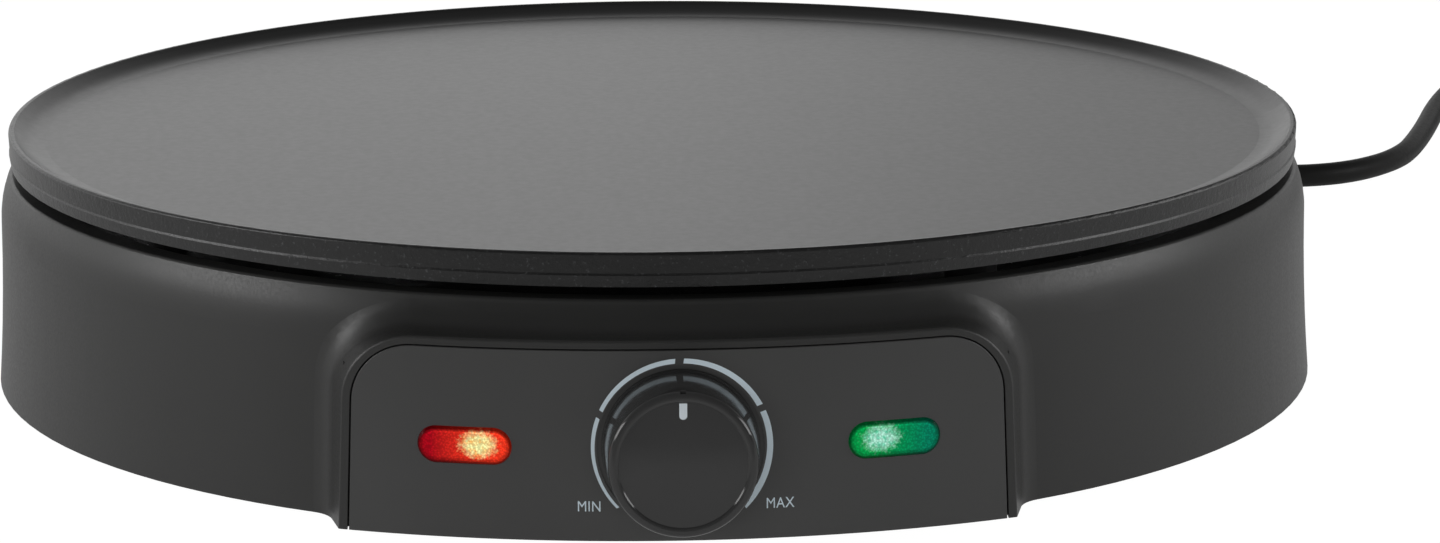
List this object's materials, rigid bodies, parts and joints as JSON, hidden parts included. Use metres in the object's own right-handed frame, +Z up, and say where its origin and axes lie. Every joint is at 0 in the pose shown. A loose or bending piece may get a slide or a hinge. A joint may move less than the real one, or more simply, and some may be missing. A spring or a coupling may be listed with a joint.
{
  "type": "electric crepe maker",
  "caption": "Round electric crepe maker with a shallow cast baking plate, a low drum base, and a front panel with a thermostat dial between two pilot lamps.",
  "frame": {"origin": "on the table, under the middle of the appliance's bounding box without its loose cord; the drum's own axis is 8.8 mm towards +Y from it", "axes": "+Z up through the baking plate, -Y towards someone facing the control panel, +X to their right"},
  "size_m": [0.5734, 0.5828, 0.0655],
  "materials": {
    "plate_coating": "dark non-stick coating, faint cast grain on the rim",
    "housing_black": "satin black moulding",
    "panel_black": "satin black moulding",
    "knob_black": "polished",
    "print_grey": "pale inlay",
    "lens_red": "translucent, glossy",
    "lens_green": "translucent, glossy",
    "lamp_glass": "clear",
    "white_plastic": "moulded",
    "ceramic": "fired",
    "steel": "zinc plated",
    "element_sheath": "dull, heat tinted",
    "pan_metal": "bright sheet",
    "copper": "drawn tube",
    "brass": "machined",
    "foot_rubber": "matte",
    "cord_rubber": "matte, flexible",
    "plug_black": "moulded",
    "pin_metal": "nickel plated",
    "tie_black": "soft strap",
    "wire_brown": "insulation",
    "wire_blue": "insulation",
    "wire_green": "insulation",
    "wire_grey": "sheathed insulation"
  },
  "bodies": {
    "base": {"baking_plate": "plate_coating", "housing": "housing_black", "base_cover": "housing_black", "control_panel": "panel_black", "thermostat_bush": "brass", "thermostat_nut": "steel", "thermostat_bracket": "steel", "bracket_screws": "steel", "thermostat_body": "ceramic", "thermostat_tabs": "brass", "sensing_bulb": "copper", "capillary_tube": "copper", "bulb_clip": "steel", "fuse_clip": "steel", "clip_screws": "steel", "thermal_fuse": "pan_metal", "heating_element": "element_sheath", "element_insulators": "ceramic", "element_terminals": "steel", "reflector_pan": "pan_metal", "plate_spacers": "ceramic", "plate_screws": "steel", "plate_washers": "steel", "earth_tag": "brass", "cover_screws": "steel", "rubber_feet": "foot_rubber", "panel_screws": "steel", "power_lens": "lens_red", "ready_lens": "lens_green", "power_lamp": "lamp_glass", "ready_lamp": "lamp_glass", "lamp_holders": "white_plastic", "terminal_block": "white_plastic", "terminal_screws": "brass", "block_screws": "steel", "supply_wires": "wire_grey", "earth_wire": "wire_green", "neutral_wire": "wire_blue", "live_wire": "wire_brown", "switched_wires": "wire_brown", "lamp_wires": "wire_blue", "cord_bush": "cord_rubber", "inner_cord": "cord_rubber", "cord_clamp": "white_plastic", "clamp_screws": "steel", "power_cord_lead": "cord_rubber", "power_cord_coil": "cord_rubber", "coil_tie": "tie_black", "plug_cord_tail": "cord_rubber", "plug_body": "plug_black", "plug_pins": "pin_metal", "plug_earth_contacts": "steel"},
    "knob": {"control_knob": "knob_black", "knob_pointer": "print_grey", "thermostat_shaft": "steel"}
  },
  "joints": [
    {"name": "knob_turn", "type": "hinge", "parent": "base", "child": "knob", "pos_m": [0, -0.1692, 0.0243], "axis": [0, 1, 0], "range_deg": [-135, 135]}
  ]
}
